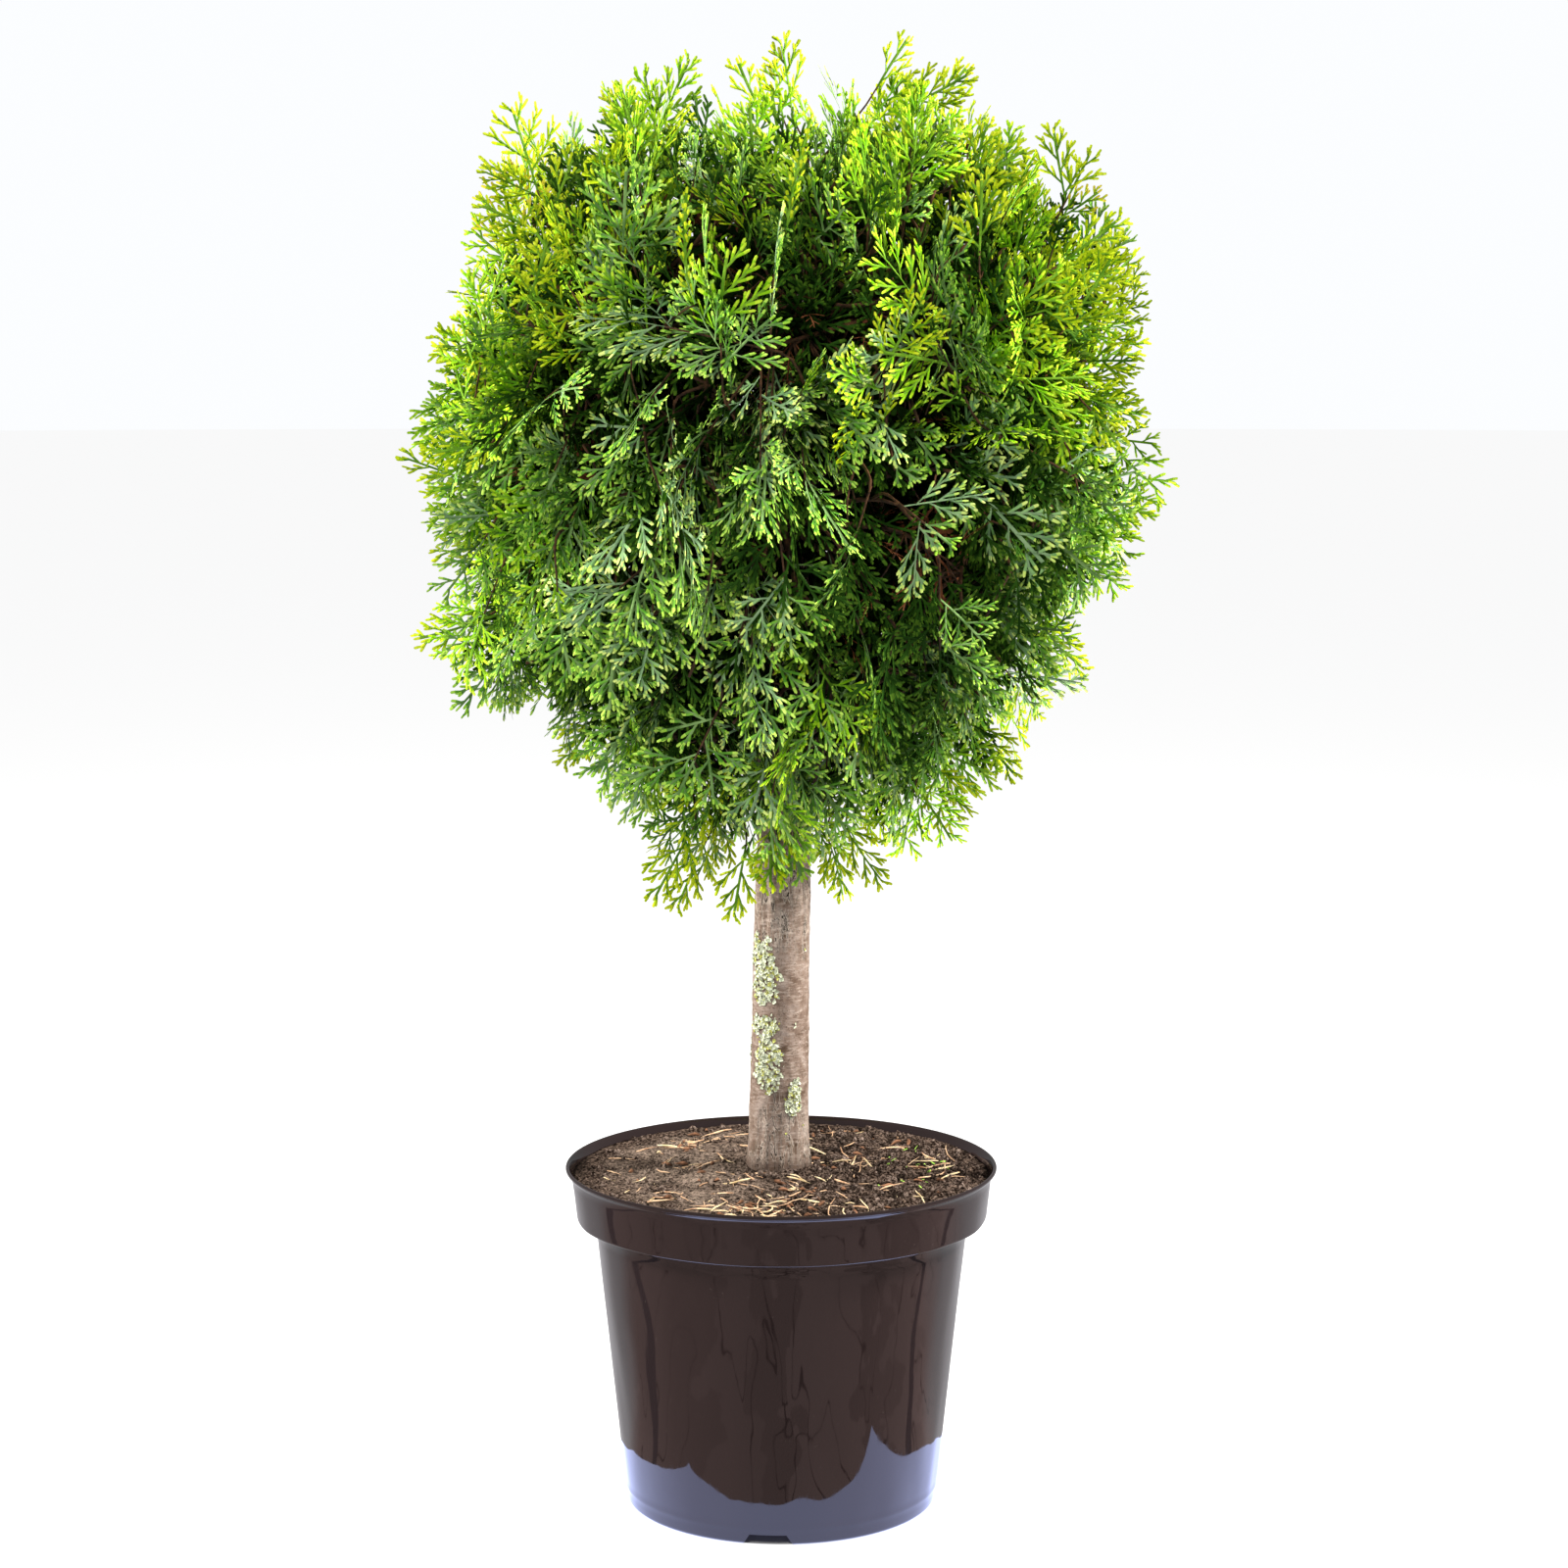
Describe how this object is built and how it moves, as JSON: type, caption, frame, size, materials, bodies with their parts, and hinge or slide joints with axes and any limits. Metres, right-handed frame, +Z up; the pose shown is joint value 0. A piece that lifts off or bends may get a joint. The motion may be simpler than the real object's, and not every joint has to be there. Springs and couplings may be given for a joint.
{
  "type": "potted thuja topiary",
  "caption": "Ball-headed thuja on a bare upright stem, growing in a round black plastic nursery pot filled with soil.",
  "frame": {"origin": "on the ground, at the middle of the flat underside of the pot", "axes": "+Z up along the stem, -Y towards the front as pictured, +X to the right of the picture"},
  "size_m": [0.6546, 0.6451, 1.2825],
  "materials": {
    "pot": "glossy moulded black plastic",
    "soil": "rough crumbly potting soil",
    "bark": "grey-brown fissured bark",
    "leaves_top": "lime green scale foliage",
    "leaves_upper": "yellow-green scale foliage",
    "leaves_middle": "mid green scale foliage",
    "leaves_lower": "deep green scale foliage"
  },
  "bodies": {
    "root": {"bough_lower_1": "bark", "bough_lower_2": "bark", "bough_lower_3": "bark", "bough_lower_4": "bark", "bough_middle_1": "bark", "bough_middle_2": "bark", "bough_middle_3": "bark", "bough_middle_4": "bark", "bough_middle_5": "bark", "bough_upper_1": "bark", "bough_upper_2": "bark", "bough_upper_3": "bark", "bough_upper_4": "bark", "foliage_lower_1": "leaves_lower", "foliage_lower_2": "leaves_lower", "foliage_lower_3": "leaves_lower", "foliage_lower_4": "leaves_lower", "foliage_middle_1": "leaves_middle", "foliage_middle_2": "leaves_middle", "foliage_middle_3": "leaves_middle", "foliage_middle_4": "leaves_middle", "foliage_middle_5": "leaves_middle", "foliage_top": "leaves_top", "foliage_upper_1": "leaves_upper", "foliage_upper_2": "leaves_upper", "foliage_upper_3": "leaves_upper", "foliage_upper_4": "leaves_upper", "pot": "pot", "soil": "soil", "trunk": "bark"}
  },
  "joints": []
}
